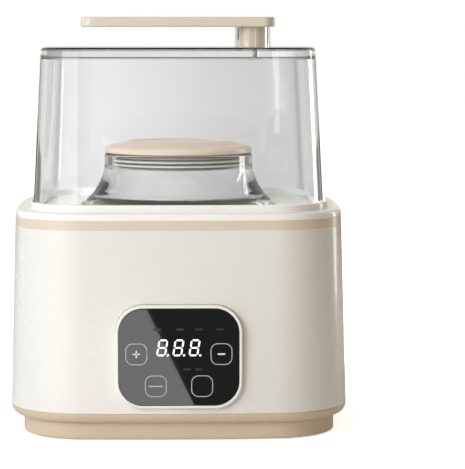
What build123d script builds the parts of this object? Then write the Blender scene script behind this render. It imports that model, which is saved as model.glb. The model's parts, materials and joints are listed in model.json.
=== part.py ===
from build123d import *
from math import atan2, cos, degrees, radians, sin
import os

# Yogurt maker: a warming base, a glass jar with its lid, and a clear cover with a handle.
# Millimetres. X to the right, Y to the back, Z up, origin on the floor under the middle.

# Housing
FOOT_W, FOOT_D = 204.0, 172.0        # widest plan, at the housing's lower edge
HOUSING_Z0, HOUSING_Z1 = 16.6, 124.2
HOUSING_DRAFT = 3.1                  # how far each side leans in up to the top
WALL = 2.6
PLAN_RADIUS = 46.0                   # corners of the plan
PLAN_BOW = 4.0                       # how far each side bows out

# Trim band and upper rim
BAND_H = 5.6
SHOULDER_Z = 134.0
COLLAR_Z = 138.3
COLLAR_IN = 8.0                      # shoulder width, from the housing's side to the collar
COLLAR_T = 1.9
DECK_T = 2.5
RIM_ROUND = 2.2

# Bottom cover
RING_Z0, RING_Z1 = 0.8, 11.1
RING_IN = 7.4                        # how far the foot ring stands back at the sides
RING_FORWARD = 2.9                   # how much less it stands back at the front and the back
TRAY_ROUND = 5.3
FLOOR_Z0, FLOOR_Z1 = 3.0, 5.5
FOOT_PAD_R, FOOT_STEM_R = 7.2, 2.8
FOOT_X, FOOT_Y = 60.5, 66.0

# Jar, lid and well
JAR_R = 57.5
JAR_Z0 = 22.0
JAR_WALL = 3.6
NECK_R, NECK_BORE_R = 45.6, 41.2
JAR_FLOOR_Z = 26.5
SHOULDER_START_Z, NECK_START_Z, MOUTH_Z = 134.0, 158.5, 165.1
SHOULDER_OUTSIDE = ((1.0, 2.9), (3.3, 5.1), (7.3, 10.7), (10.5, 17.2))   # in from the body, up from the start
SHOULDER_INSIDE = ((1.5, 3.6), (5.4, 7.8), (10.2, 14.2))
LID_R = 45.3
LID_Z0, LID_FLANGE_T, LID_Z1 = 165.4, 4.0, 172.4
PLUG_R, PLUG_Z0 = 37.4, 155.6
GASKET_Z0, GASKET_Z1 = 156.6, 162.4
GASKET_RIBS = (158.3, 160.9)
WELL_R, WELL_T = 59.8, 0.8
WELL_Z0 = 20.9
WELL_FLANGE_Z = 123.0
WELL_FLANGE_R = 71.0

# Cover and handle
COVER_Z0, COVER_Z1 = 134.3, 230.1
COVER_PLAY = 0.4                     # between the cover and the collar's inside
COVER_DRAFT = 4.9
COVER_WALL, COVER_TOP_T = 3.0, 5.6
COVER_ROUND, COVER_INNER_ROUND = 2.4, 1.8     # at the top edge, outside and inside
POST_X = 45.7
SLEEVE_R, SLEEVE_BORE_R = 10.8, 8.2
BAR_X0, BAR_X1 = -59.5, 59.1
BAR_Z0, BAR_Z1 = 242.2, 248.3
BAR_D = 24.0
PEG_R = 8.1
HANDLE_SCREW_R = 1.45
VENT_X, VENT_Z, VENT_R = 55.5, 192.5, 2.4

# Touch panel. Button places are measured from the panel's centre.
GLASS_W, GLASS_H, GLASS_R, GLASS_T = 70.6, 57.2, 14.5, 1.8
PANEL_Z = 50.6
PANEL_Y = -88.0
BEZEL_LIP = 1.8
BEZEL_W, BEZEL_H, BEZEL_R = GLASS_W + 2 * BEZEL_LIP, GLASS_H + 2 * BEZEL_LIP, GLASS_R + BEZEL_LIP
BEZEL_BACK_Y = -79.6
BUTTONS = ((-24.8, 1.8), (24.8, 1.8), (-13.5, -17.0), (13.5, -17.0))
DISPLAY_Z = PANEL_Z + 5.6
BOARD_Y0 = -79.2
BOARD_W, BOARD_H, BOARD_R = 68.0, 54.0, 6.0
BOARD_FIXING_X, BOARD_FIXING_Z = 30.2, 23.8
BOARD_SCREW_R = 1.1
BUZZER_X, BUZZER_Z = -20.0, 43.0

# Rear inlet, a two-pin socket with a straight-sided recess
INLET_Z = 40.0
INLET_Y = 88.0
INLET_W, INLET_H, INLET_R = 28.0, 13.0, 4.0
INLET_PIN_X, INLET_PIN_R = 4.3, 1.2
INLET_BACK_Y = 73.0

# Heating parts
PLATE_Z0, PLATE_Z1, PLATE_R = 17.4, 20.8, 46.0
SENSOR_HOLE_R = 7.0
FOIL_Z0, FOIL_Z1, FOIL_T = 34.0, 84.0, 0.6
FUSE_Y = 22.0

# Power board, upright between the well and the housing's right side
POWER_X, POWER_Z = 70.0, 62.0
POWER_W, POWER_H = 62.0, 56.0

# Fixings
GAP = 0.15                           # clearance between fixed pieces
TOUCH = 0.1                          # clearance between pieces that bear on each other
FIXING_X, FIXING_Y = 80.0, 47.0      # base screws and their bosses
BOSS_Z0, BOSS_Z1, BOSS_R = 5.8, 44.0, 4.0
BASE_SCREW_R, WELL_SCREW_R = 1.2, 1.05
WELL_FIXING_R = 66.0
THIN_BOARD = 1.6
COMPONENT_X = POWER_X + THIN_BOARD + TOUCH
PAST = 1.0                           # how far a cut runs past the face it opens


def plan(width, depth, radius=PLAN_RADIUS, bow=PLAN_BOW):
    """Rounded rectangle whose four sides bow outwards."""
    a, b = width / 2, depth / 2
    corners = [(-a + bow, -b + bow), (a - bow, -b + bow), (a - bow, b - bow), (-a + bow, b - bow)]
    middles = [(0, -b), (a, 0), (0, b), (-a, 0)]
    with BuildSketch() as sketch:
        with BuildLine():
            for i in range(4):
                ThreePointArc(corners[i], middles[i], corners[(i + 1) % 4])
        make_face()
        fillet(sketch.vertices(), radius)
    return sketch.sketch


def prism(outline, z0, z1, lean=0.0):
    """Block on the outline from z0 to z1, its sides leaning in by lean over that height."""
    angle = degrees(atan2(lean, z1 - z0))
    return Pos(0, 0, z0) * extrude(outline, z1 - z0, taper=angle)


def housing_lean(z):
    return HOUSING_DRAFT * (z - HOUSING_Z0) / (HOUSING_Z1 - HOUSING_Z0)


def housing_plan(z, inset=0.0):
    """Outline of the housing's outside at height z, moved in by inset."""
    shrink = 2 * (housing_lean(z) + inset)
    return plan(FOOT_W - shrink, FOOT_D - shrink, PLAN_RADIUS - shrink / 2)


def housing_block(z0, z1, inset=0.0):
    """Block that follows the housing's leaning side between two heights."""
    return prism(housing_plan(z0, inset), z0, z1, housing_lean(z1) - housing_lean(z0))


def cylinder(radius, z0, z1, x=0.0, y=0.0):
    return Pos(x, y, (z0 + z1) / 2) * Cylinder(radius, z1 - z0)


def tube(outer, inner, z0, z1, x=0.0, y=0.0):
    return cylinder(outer, z0, z1, x, y) - cylinder(inner, z0 - 1, z1 + 1, x, y)


def panel_block(width, height, radius, y0, y1, x=0.0, z=PANEL_Z):
    """Rounded rectangle upright in the XZ plane, from y0 back to y1."""
    face = RectangleRounded(width, height, radius)
    return Pos(x, y1, z) * Rot(90, 0, 0) * extrude(face, y1 - y0)


def along_y(radius, y0, y1, x, z):
    return Pos(x, (y0 + y1) / 2, z) * Rot(90, 0, 0) * Cylinder(radius, y1 - y0)


def four(x, y):
    """The four places at plus and minus x and y."""
    return [(sx * x, sy * y) for sx in (-1, 1) for sy in (-1, 1)]


def revolved(points):
    """Solid of revolution about Z from an outline of (radius, height) points."""
    face = make_face(Polyline(*[(r, 0, z) for r, z in points], close=True))
    return revolve(face, Axis.Z)


def collar_plan(inset):
    """Outline of the collar's outside, moved in by inset."""
    return housing_plan(SHOULDER_Z, COLLAR_IN + inset)


def edges_top(part):
    return part.edges().group_by(Axis.Z)[-1]


def edges_bottom(part):
    return part.edges().group_by(Axis.Z)[0]


def edges_front(part):
    return part.edges().group_by(Axis.Y)[0]


def edges_back(part):
    return part.edges().group_by(Axis.Y)[-1]


def circles_at(part, z, radius):
    """Circular edges of one radius at one height."""
    circles = part.edges().filter_by(GeomType.CIRCLE)
    return [e for e in circles if abs(e.center().Z - z) < 0.01 and abs(e.radius - radius) < 0.01]


# Base mouldings

def outer_housing():
    shell = housing_block(HOUSING_Z0, HOUSING_Z1) - housing_block(HOUSING_Z0, HOUSING_Z1, WALL)
    inside = housing_block(HOUSING_Z0, HOUSING_Z1, WALL / 2)
    rib_l, rib_t, rib_z0 = 20.0, 2.4, 23.0
    for x, y in four(FIXING_X, FIXING_Y):
        rib = Pos(rib_l / 2, 0, (rib_z0 + BOSS_Z1) / 2) * Box(rib_l, rib_t, BOSS_Z1 - rib_z0)
        rib = Pos(x, y, 0) * Rot(0, 0, degrees(atan2(y, x))) * rib
        shell += cylinder(BOSS_R, BOSS_Z0, BOSS_Z1, x, y) + (rib & inside)
    for x, y in four(FIXING_X, FIXING_Y):
        shell -= cylinder(BASE_SCREW_R + 0.05, BOSS_Z0 - PAST, BOSS_Z1 - 4, x, y)
    shell -= panel_block(BEZEL_W + 2 * GAP, BEZEL_H + 2 * GAP, BEZEL_R, -FOOT_D / 2 - PAST, BEZEL_BACK_Y)
    inlet_y0, inlet_y1 = INLET_BACK_Y, INLET_Y + PAST
    return shell - panel_block(INLET_W + 2 * GAP, INLET_H + 2 * GAP, INLET_R, inlet_y0, inlet_y1, z=INLET_Z)


def housing_ring(z0, z1, inset, thickness):
    return housing_block(z0, z1, inset) - housing_block(z0, z1, inset + thickness)


def trim_band():
    z0, z1 = HOUSING_Z1, HOUSING_Z1 + BAND_H
    down, up, tongue_t, overlap = 3.5, 1.4, 1.5, 0.5
    tongue = housing_ring(z0 - down, z1 + up, WALL + GAP, tongue_t)
    link = housing_ring(z0 + 1.5, z1 - 1.5, WALL - overlap, GAP + 2 * overlap)
    return housing_ring(z0, z1, 0, WALL) + tongue + link


def well_fixings():
    """Centres of the four screws that hold the well under the deck."""
    angles = [radians(45 + 90 * k) for k in range(4)]
    return [(WELL_FIXING_R * cos(a), WELL_FIXING_R * sin(a)) for a in angles]


def upper_rim():
    z0, deck_z = HOUSING_Z1 + BAND_H, SHOULDER_Z - DECK_T
    shell = fillet(edges_top(housing_block(z0, SHOULDER_Z)), RIM_ROUND)
    shell -= housing_block(z0, deck_z, WALL)
    collar_round = 0.8
    collar = fillet(edges_top(prism(collar_plan(0), SHOULDER_Z - PAST, COLLAR_Z)), collar_round)
    rim = shell + collar - prism(collar_plan(COLLAR_T), SHOULDER_Z, COLLAR_Z + PAST)
    lip_z0, lip_t, boss_r, overlap = WELL_FLANGE_Z + 2.4, 2.6, 3.6, 0.5
    rim += cylinder(WELL_R + lip_t, lip_z0, deck_z + overlap)
    for x, y in well_fixings():
        rim += cylinder(boss_r, WELL_FLANGE_Z + WELL_T + TOUCH, deck_z + overlap, x, y)
        rim -= cylinder(WELL_SCREW_R + 0.05, WELL_FLANGE_Z, deck_z - 1, x, y)
    rim -= cylinder(WELL_R, lip_z0 - PAST, SHOULDER_Z + PAST)
    return fillet(circles_at(rim, SHOULDER_Z, WELL_R), RIM_ROUND / 2)


def bottom_cover():
    def level(inset, z0, z1):
        return prism(housing_plan(HOUSING_Z0, inset), z0, z1)

    def ring_level(inset, z0, z1):
        outline = plan(FOOT_W - 2 * inset, FOOT_D - 2 * (inset - RING_FORWARD), PLAN_RADIUS - inset)
        return prism(outline, z0, z1)

    foot_round, rim_t, tongue_h, tongue_t, tongue_in = 1.4, 3.2, 3.0, 1.5, WALL + GAP + TOUCH
    tray = fillet(edges_bottom(level(0, RING_Z1, HOUSING_Z0)), TRAY_ROUND)
    ring = fillet(edges_bottom(ring_level(RING_IN, RING_Z0, RING_Z1 + PAST)), foot_round)
    body = tray + ring - ring_level(RING_IN + WALL, FLOOR_Z1, HOUSING_Z0 + PAST)
    body -= ring_level(RING_IN + rim_t, RING_Z0 - PAST, FLOOR_Z0)
    tongue = level(tongue_in, HOUSING_Z0 - 2, HOUSING_Z0 + tongue_h)
    body += tongue - level(tongue_in + tongue_t, HOUSING_Z0 - 2, HOUSING_Z0 + tongue_h)
    holes = [(x, y, BASE_SCREW_R + 0.5) for x, y in four(FIXING_X, FIXING_Y)]
    holes += [(x, y, FOOT_STEM_R + TOUCH) for x, y in four(FOOT_X, FOOT_Y)]
    for x, y, radius in holes:
        body -= cylinder(radius, FLOOR_Z0 - PAST, FLOOR_Z1 + PAST, x, y)
    slots, slot_pitch, slot_l, slot_w, slot_y = 7, 9.0, 24.0, 3.0, 36.0
    for i in range(slots):
        for y in (-slot_y, slot_y):
            slot = extrude(SlotOverall(slot_l, slot_w, rotation=90), FLOOR_Z1 - FLOOR_Z0 + 2 * PAST)
            body -= Pos((i - (slots - 1) / 2) * slot_pitch, y, FLOOR_Z0 - PAST) * slot
    return body


def rubber_feet():
    edge, barb_r, barb_h, tip_r = 0.6, FOOT_STEM_R + 0.8, 3.0, 2.2
    pad = [(0, 0), (FOOT_PAD_R - edge, 0), (FOOT_PAD_R, edge), (FOOT_PAD_R, FLOOR_Z0)]
    stem = [(FOOT_STEM_R, FLOOR_Z0), (FOOT_STEM_R, FLOOR_Z1), (barb_r, FLOOR_Z1), (barb_r, FLOOR_Z1 + edge)]
    outline = pad + stem + [(tip_r, FLOOR_Z1 + barb_h), (0, FLOOR_Z1 + barb_h)]
    return [Pos(x, y, 0) * revolved(outline) for x, y in four(FOOT_X, FOOT_Y)]


def screw(radius, length, head_radius, head_height):
    """Pan-head screw with its shank up +Z from the head's underside at z = 0, and a cross recess."""
    shank = cylinder(radius, 0, length) + Pos(0, 0, length + radius / 2) * Cone(radius, radius * 0.2, radius)
    head = cylinder(head_radius, -head_height, 0)
    head = fillet(edges_bottom(head), head_height * 0.45)
    recess_w, recess_l = head_radius * 0.28, head_radius * 1.2
    for turn in (0, 90):
        head -= Pos(0, 0, -head_height) * Rot(0, 0, turn) * Box(recess_l, recess_w, head_height)
    return shank + head


def base_screws():
    one = screw(BASE_SCREW_R, length=16, head_radius=2.8, head_height=1.4)
    return [Pos(x, y, FLOOR_Z0) * one for x, y in four(FIXING_X, FIXING_Y)]


# Heating well

def heating_well():
    r, t, z0, z1 = WELL_R, WELL_T, WELL_Z0, WELL_FLANGE_Z
    bend = 7.0
    outer = fillet(edges_bottom(cylinder(r + t, z0, z1 + t)), bend)
    inner = fillet(edges_bottom(cylinder(r, z0 + t, z1 + t + PAST)), bend - t)
    cup = outer + cylinder(WELL_FLANGE_R, z1, z1 + t) - inner
    for x, y in well_fixings():
        cup -= cylinder(WELL_SCREW_R + 0.45, z1 - PAST, z1 + t + PAST, x, y)
    return cup


def well_seal():
    ring = tube(WELL_R + 2.4, WELL_R + 0.2, WELL_FLANGE_Z + WELL_T, WELL_FLANGE_Z + 2.4)
    return fillet(edges_top(ring), 0.3)


def well_screws():
    one = screw(WELL_SCREW_R, length=5.5, head_radius=2.6, head_height=1.3)
    return [Pos(x, y, WELL_FLANGE_Z) * one for x, y in well_fixings()]


def heater_plate():
    plate = tube(PLATE_R, SENSOR_HOLE_R, PLATE_Z0, PLATE_Z1)
    lug_y, lug_h = 33.0, 5.0
    for side in (-1, 1):
        plate += Pos(0, side * lug_y, PLATE_Z0) * Box(3, 6, lug_h)
    return chamfer(edges_top(plate), 0.4)


def ptc_heater():
    width, depth, height, x = 22.0, 34.0, 5.0, 24.0
    block = fillet(Box(width, depth, height).edges().filter_by(Axis.Z), 1.5)
    return [Pos(side * x, 0, PLATE_Z0 - height / 2 - TOUCH) * block for side in (-1, 1)]


def temperature_sensor():
    button_z0, flange_h = 12.0, 1.4
    button = fillet(edges_top(cylinder(5.2, button_z0, PLATE_Z1)), 0.8)
    stem = cylinder(3.4, FLOOR_Z1 + TOUCH, button_z0 + 0.2)
    return button + stem + cylinder(6.2, button_z0, button_z0 + flange_h)


def thermal_fuse():
    radius, length, wire_r, wire_l = 2.1, 13.0, 0.5, 21.0
    fuse = Cylinder(radius, length) + Cylinder(wire_r, wire_l)
    return Pos(0, FUSE_Y, PLATE_Z0 - radius - TOUCH) * Rot(0, 90, 0) * fuse


def heater_foil():
    inner_r, slit = WELL_R + WELL_T + 0.05, 5.0
    band = tube(inner_r + FOIL_T, inner_r, FOIL_Z0, FOIL_Z1)
    return band - Pos(inner_r, 0, (FOIL_Z0 + FOIL_Z1) / 2) * Box(6, slit, FOIL_Z1 - FOIL_Z0 + PAST)


# Touch panel

def panel_bezel():
    flange_w, flange_y, sill, edge = 2.5, -81.0, 2.5, 0.7
    frame = panel_block(BEZEL_W, BEZEL_H, BEZEL_R, PANEL_Y, BEZEL_BACK_Y)
    frame = fillet(edges_front(frame), edge)
    frame += panel_block(BEZEL_W + 2 * flange_w, BEZEL_H + 2 * flange_w, BEZEL_R, flange_y, BEZEL_BACK_Y)
    pocket_y = PANEL_Y + GLASS_T + TOUCH
    frame -= panel_block(GLASS_W + TOUCH, GLASS_H + TOUCH, GLASS_R, PANEL_Y - PAST, pocket_y)
    window = (GLASS_W - 2 * sill, GLASS_H - 2 * sill, GLASS_R - sill)
    frame -= panel_block(*window, PANEL_Y, BEZEL_BACK_Y + PAST)
    for x, z in four(BOARD_FIXING_X, BOARD_FIXING_Z):
        frame -= along_y(BOARD_SCREW_R + 0.02, BEZEL_BACK_Y - 4.4, BEZEL_BACK_Y + PAST, x, PANEL_Z + z)
    return frame


def touch_glass():
    glass = panel_block(GLASS_W, GLASS_H, GLASS_R, PANEL_Y, PANEL_Y + GLASS_T)
    return fillet(edges_front(glass), 0.35)


def display_module():
    width, height, digit_w, digit_h, pitch, depth = 38.0, 17.0, 8.6, 13.6, 10.2, 0.3
    y0 = PANEL_Y + GLASS_T + 0.2
    block = panel_block(width, height, 0.8, y0, BOARD_Y0 - TOUCH, z=DISPLAY_Z)
    for i in (-1, 0, 1):
        block -= panel_block(digit_w, digit_h, 1.0, y0 - PAST, y0 + depth, x=i * pitch, z=DISPLAY_Z)
    return block


def touch_springs():
    wire_r, radius, turns = 0.35, 3.2, 3
    y0, y1 = PANEL_Y + GLASS_T + 0.5, BOARD_Y0 - 0.4
    helix = Helix(pitch=(y1 - y0) / turns, height=y1 - y0, radius=radius)
    coil = sweep(Plane(origin=helix @ 0, z_dir=helix % 0) * Circle(wire_r), path=helix)
    return [Pos(x, y1, PANEL_Z + dz) * Rot(90, 0, 0) * coil for x, dz in BUTTONS]


def control_board():
    board = panel_block(BOARD_W, BOARD_H, BOARD_R, BOARD_Y0, BOARD_Y0 + THIN_BOARD)
    for x, z in four(BOARD_FIXING_X, BOARD_FIXING_Z):
        board -= along_y(BOARD_SCREW_R + 0.2, BOARD_Y0 - PAST, BOARD_Y0 + THIN_BOARD + PAST, x, PANEL_Z + z)
    return board


def board_screws():
    one = Rot(90, 0, 0) * screw(BOARD_SCREW_R, length=4.5, head_radius=2.1, head_height=1.1)
    fixings = four(BOARD_FIXING_X, BOARD_FIXING_Z)
    return [Pos(x, BOARD_Y0 + THIN_BOARD, PANEL_Z + z) * one for x, z in fixings]


def buzzer():
    y0, radius, height, sound_hole_r = BOARD_Y0 + THIN_BOARD + TOUCH, 6.0, 6.5, 1.0
    can = along_y(radius, y0, y0 + height, BUZZER_X, BUZZER_Z)
    return can - along_y(sound_hole_r, y0 + height / 2, y0 + height + PAST, BUZZER_X, BUZZER_Z)


# Power side

def side_block(x0, x1, y, z, width, height):
    return Pos((x0 + x1) / 2, y, z) * Box(x1 - x0, width, height)


def power_board():
    board = side_block(POWER_X, POWER_X + THIN_BOARD, 0, POWER_Z, POWER_W, POWER_H)
    hole_y, hole_z, hole_r = 27.0, 24.0, 1.6
    for y, z in four(hole_y, hole_z):
        board -= Pos(POWER_X, y, POWER_Z + z) * Rot(0, 90, 0) * Cylinder(hole_r, 4 * THIN_BOARD)
    return board


def transformer():
    y, z = -14.0, POWER_Z + 8
    core = fillet(side_block(COMPONENT_X + 2, COMPONENT_X + 16, y, z, 20, 18).edges().filter_by(Axis.X), 0.8)
    return core + side_block(COMPONENT_X, COMPONENT_X + 18, y, z, 12, 13)


def relay():
    case = side_block(COMPONENT_X, COMPONENT_X + 15, 16, POWER_Z + 10, 19, 15.5)
    return fillet(case.edges().filter_by(Axis.X), 0.8)


def capacitors():
    cans = []
    for y, radius, height in ((-18, 5.0, 16.0), (-4, 4.0, 12.0)):
        can = Pos(COMPONENT_X + height / 2, y, POWER_Z - 16) * Rot(0, 90, 0) * Cylinder(radius, height)
        cans.append(fillet(can.edges().group_by(Axis.X)[-1], 0.6))
    return cans


def power_inlet():
    lip, face_round, lobe_r, floor_t, pin_play = 4.0, 0.8, 4.4, 3.0, 0.02
    flange_size = (INLET_W + 2 * lip, INLET_H + 1.5 * lip, INLET_R + lip / 2)
    flange = fillet(edges_back(panel_block(*flange_size, INLET_Y - 8, INLET_Y, z=INLET_Z)), face_round)
    flange -= housing_block(HOUSING_Z0, HOUSING_Z1, -0.02)
    body = flange + panel_block(INLET_W, INLET_H, INLET_R, INLET_BACK_Y, INLET_Y - PAST, z=INLET_Z)
    floor_y, mouth_y = INLET_BACK_Y + floor_t, INLET_Y + PAST
    for side in (-1, 1):
        x = side * INLET_PIN_X
        body -= along_y(lobe_r, floor_y, mouth_y, x, INLET_Z)
        body -= along_y(INLET_PIN_R + pin_play, INLET_BACK_Y - PAST, mouth_y, x, INLET_Z)
        body += Pos(side * (INLET_W / 2 + 0.8), floor_y + 3.5, INLET_Z) * Box(1.8, 4, 7)
    return body - panel_block(2 * INLET_PIN_X, 2 * lobe_r, 0.5, floor_y, mouth_y, z=INLET_Z)


def inlet_pins():
    tail, set_back = 4.0, 2.5
    pin = along_y(INLET_PIN_R, INLET_BACK_Y - tail, INLET_Y - set_back, INLET_PIN_X, INLET_Z)
    pin = fillet(edges_back(pin), 0.6)
    return [pin, Pos(-2 * INLET_PIN_X, 0, 0) * pin]


def wire(points, radius, bend):
    """Round wire along straight runs joined by arcs."""
    path = FilletPolyline(*points, radius=bend)
    return sweep(Plane(origin=path @ 0, z_dir=path % 0) * Circle(radius), path=path)


def inlet_leads():
    radius, bend, start_y = 1.0, 2.2, INLET_BACK_Y - 4 - TOUCH
    turn_y, board_x, board_y, board_z = start_y - 4.4, COMPONENT_X, 22.0, POWER_Z - 18
    leads = []
    for side, drop in ((-1, 3.6), (1, 0.0)):
        x, z = side * INLET_PIN_X, INLET_Z - drop
        around = [(32, 69.5, z), (62, 54, z), (76, 38, z)]
        to_board = [(76, board_y, board_z - drop), (board_x, board_y, board_z - drop)]
        points = [(x, start_y, INLET_Z), (x, turn_y, INLET_Z), (x + 5, turn_y, z)] + around + to_board
        leads.append(wire(points, radius, bend))
    return leads


def heater_leads():
    x0, x1 = WELL_R + WELL_T + FOIL_T + 0.6, POWER_X - TOUCH
    z0, z1 = 72.0, 79.0
    return [wire([(x0, y, z0), (x0 + 2.4, y, z1), (x1, y, z1)], 0.7, 1.5) for y in (-9, 9)]


def ribbon_cable():
    z, width, thickness, bend = POWER_Z - 24, 12.0, 0.8, 2.0
    x0, y0 = 26.0, BOARD_Y0 + THIN_BOARD + TOUCH
    side_x, x1, y1 = 65.0, POWER_X - TOUCH, -26.0
    front = [(x0, y0, z), (x0, y0 + 4, z), (x0 * 2, y0 + 7, z)]
    side = [(side_x, 2 * y1, z), (side_x, y1, z), (x1, y1, z)]
    path = FilletPolyline(*front, *side, radius=bend)
    section = Plane(origin=path @ 0, x_dir=(1, 0, 0), z_dir=path % 0) * Rectangle(thickness, width)
    return sweep(section, path=path)


# Jar and lid

def jar_block(body_r, base_z, heel, shoulder, neck_r, neck_z, top_z):
    """Solid of a jar's outline: a body with a rounded heel, a curved shoulder and a straight neck."""
    start_z = SHOULDER_START_Z
    bends = [(body_r - inward, start_z + up) for inward, up in shoulder]
    with BuildSketch(Plane.XZ) as half:
        with BuildLine():
            Line((0, base_z), (body_r - heel, base_z))
            CenterArc((body_r - heel, base_z + heel), heel, -90, 90)
            Line((body_r, base_z + heel), (body_r, start_z))
            Spline((body_r, start_z), *bends, (neck_r, neck_z), tangents=[(0, 1), (0, 1)])
            Polyline((neck_r, neck_z), (neck_r, top_z), (0, top_z), (0, base_z))
        make_face()
    return revolve(half.sketch, Axis.Z)


def glass_jar():
    bore_z = NECK_START_Z - 1.5
    outside = jar_block(JAR_R, JAR_Z0, 9.0, SHOULDER_OUTSIDE, NECK_R, NECK_START_Z, MOUTH_Z)
    inner_r, past_z = JAR_R - JAR_WALL, MOUTH_Z + PAST
    jar = outside - jar_block(inner_r, JAR_FLOOR_Z, 5.0, SHOULDER_INSIDE, NECK_BORE_R, bore_z, past_z)
    jar = fillet(circles_at(jar, MOUTH_Z, NECK_R), 1.6)
    return fillet(circles_at(jar, MOUTH_Z, NECK_BORE_R), 1.2)


def jar_lid():
    flange_z, ceiling_z = LID_Z0 + LID_FLANGE_T, LID_Z0 + 1.2
    step_r, step_z, dish_r, dish, rim_w = 38.6, flange_z + 0.7, 29.0, 0.5, 1.5
    groove_r, lip_r = PLUG_R - 1.2, PLUG_R + 0.8
    groove_z0, groove_z1 = GASKET_Z0 - TOUCH, GASKET_Z1 + TOUCH
    top = [(0, LID_Z1 - dish), (dish_r - rim_w, LID_Z1 - dish), (dish_r, LID_Z1), (dish_r + rim_w, LID_Z1)]
    flange = [(step_r, step_z), (LID_R - 2, flange_z + 0.1), (LID_R, flange_z - 1.3), (LID_R, LID_Z0)]
    groove = [(PLUG_R, LID_Z0), (PLUG_R, groove_z1), (groove_r, groove_z1), (groove_r, groove_z0)]
    plug = [(lip_r, groove_z0), (PLUG_R, PLUG_Z0), (PLUG_R - 3, PLUG_Z0), (PLUG_R - 3.4, ceiling_z)]
    lid = revolved(top + flange + groove + plug + [(0, ceiling_z)])
    for z, radius, size in ((LID_Z1, dish_r + rim_w, 2.5), (step_z, step_r, 3.0), (LID_Z0, LID_R, 0.7)):
        lid = fillet(circles_at(lid, z, radius), size)
    return lid


def lid_gasket():
    inner_r, base_r, rib_r = PLUG_R - 1.1, PLUG_R + 0.7, NECK_BORE_R - 0.6
    root, tip = 1.1, 0.3
    outline = [(inner_r, GASKET_Z0), (base_r, GASKET_Z0)]
    for z in GASKET_RIBS:
        outline += [(base_r, z - root), (rib_r, z - tip), (rib_r, z + tip), (base_r, z + root)]
    outline += [(base_r, GASKET_Z1), (inner_r, GASKET_Z1)]
    return revolved(outline)


# Cover and handle

def clear_cover():
    edge_in, ceiling_z = COLLAR_T + COVER_PLAY, COVER_Z1 - COVER_TOP_T
    inner_draft = COVER_DRAFT * (ceiling_z - COVER_Z0) / (COVER_Z1 - COVER_Z0)
    outer = fillet(edges_top(prism(collar_plan(edge_in), COVER_Z0, COVER_Z1, COVER_DRAFT)), COVER_ROUND)
    inner = prism(collar_plan(edge_in + COVER_WALL), COVER_Z0, ceiling_z, inner_draft)
    cover = outer - fillet(edges_top(inner), COVER_INNER_ROUND)
    overlap, sleeve_flare, sleeve_z1 = 0.5, 0.35, BAR_Z0 - TOUCH
    sleeve_h = sleeve_z1 - COVER_Z1 + overlap
    sleeve = Cone(SLEEVE_R + sleeve_flare, SLEEVE_R, sleeve_h)
    cover += Pos(POST_X, 0, sleeve_z1 - sleeve_h / 2) * sleeve
    cover -= cylinder(SLEEVE_BORE_R, COVER_Z1, sleeve_z1 + PAST, POST_X)
    cover -= cylinder(HANDLE_SCREW_R + 0.5, ceiling_z - PAST, COVER_Z1 + PAST, POST_X)
    return cover - along_y(VENT_R, -FOOT_D / 2, -FOOT_D / 4, VENT_X, VENT_Z)


def handle_bar():
    corner, top_round, bottom_round, pilot_h = 7.0, 1.4, 0.9, 10.0
    bar = extrude(RectangleRounded(BAR_X1 - BAR_X0, BAR_D, corner), BAR_Z1 - BAR_Z0)
    bar = fillet(edges_top(bar), top_round)
    bar = Pos((BAR_X0 + BAR_X1) / 2, 0, BAR_Z0) * fillet(edges_bottom(bar), bottom_round)
    bar += cylinder(PEG_R, COVER_Z1 + TOUCH, BAR_Z0 + 1, POST_X)
    return bar - cylinder(HANDLE_SCREW_R + 0.05, COVER_Z1, COVER_Z1 + pilot_h, POST_X)


def handle_screw():
    one = screw(HANDLE_SCREW_R, length=12.0, head_radius=3.6, head_height=1.6)
    return Pos(POST_X, 0, COVER_Z1 - COVER_TOP_T) * one


NODES = (outer_housing, trim_band, upper_rim, bottom_cover, rubber_feet, base_screws, heating_well, well_seal,
         well_screws, heater_plate, ptc_heater, temperature_sensor, thermal_fuse, heater_foil, heater_leads,
         panel_bezel, touch_glass, display_module, touch_springs, control_board, board_screws, buzzer,
         ribbon_cable, power_board, transformer, relay, capacitors, power_inlet, inlet_pins, inlet_leads,
         glass_jar, jar_lid, lid_gasket, clear_cover, handle_bar, handle_screw)


def write(name, solids):
    """Write one node from one solid or from a group of them."""
    group = solids if isinstance(solids, list) else [solids]
    pieces = [piece for item in group for piece in item.solids()]
    export_step(Compound(children=pieces) if len(pieces) > 1 else pieces[0], f"parts/{name}.step")


os.makedirs("parts", exist_ok=True)
for make in NODES:
    write(make.__name__, make())
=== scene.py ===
import json
import math

import bmesh
import bpy
from mathutils import Matrix, Vector

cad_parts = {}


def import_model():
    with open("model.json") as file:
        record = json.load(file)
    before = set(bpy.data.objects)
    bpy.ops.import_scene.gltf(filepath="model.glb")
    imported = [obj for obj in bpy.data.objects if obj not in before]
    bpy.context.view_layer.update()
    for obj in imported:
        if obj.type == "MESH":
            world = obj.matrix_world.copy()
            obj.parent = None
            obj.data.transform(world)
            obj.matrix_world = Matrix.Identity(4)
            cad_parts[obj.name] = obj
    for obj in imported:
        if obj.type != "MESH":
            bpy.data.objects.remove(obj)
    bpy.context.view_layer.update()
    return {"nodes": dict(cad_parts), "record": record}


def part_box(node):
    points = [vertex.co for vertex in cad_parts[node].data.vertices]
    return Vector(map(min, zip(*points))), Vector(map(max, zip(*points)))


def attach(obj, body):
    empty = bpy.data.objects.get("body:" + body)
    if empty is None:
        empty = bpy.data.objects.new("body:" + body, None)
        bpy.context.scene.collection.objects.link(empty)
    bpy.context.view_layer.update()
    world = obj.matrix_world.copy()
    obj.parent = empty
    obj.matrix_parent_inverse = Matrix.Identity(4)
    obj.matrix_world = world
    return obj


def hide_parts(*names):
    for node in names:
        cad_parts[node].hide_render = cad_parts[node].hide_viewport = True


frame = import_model()

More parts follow.
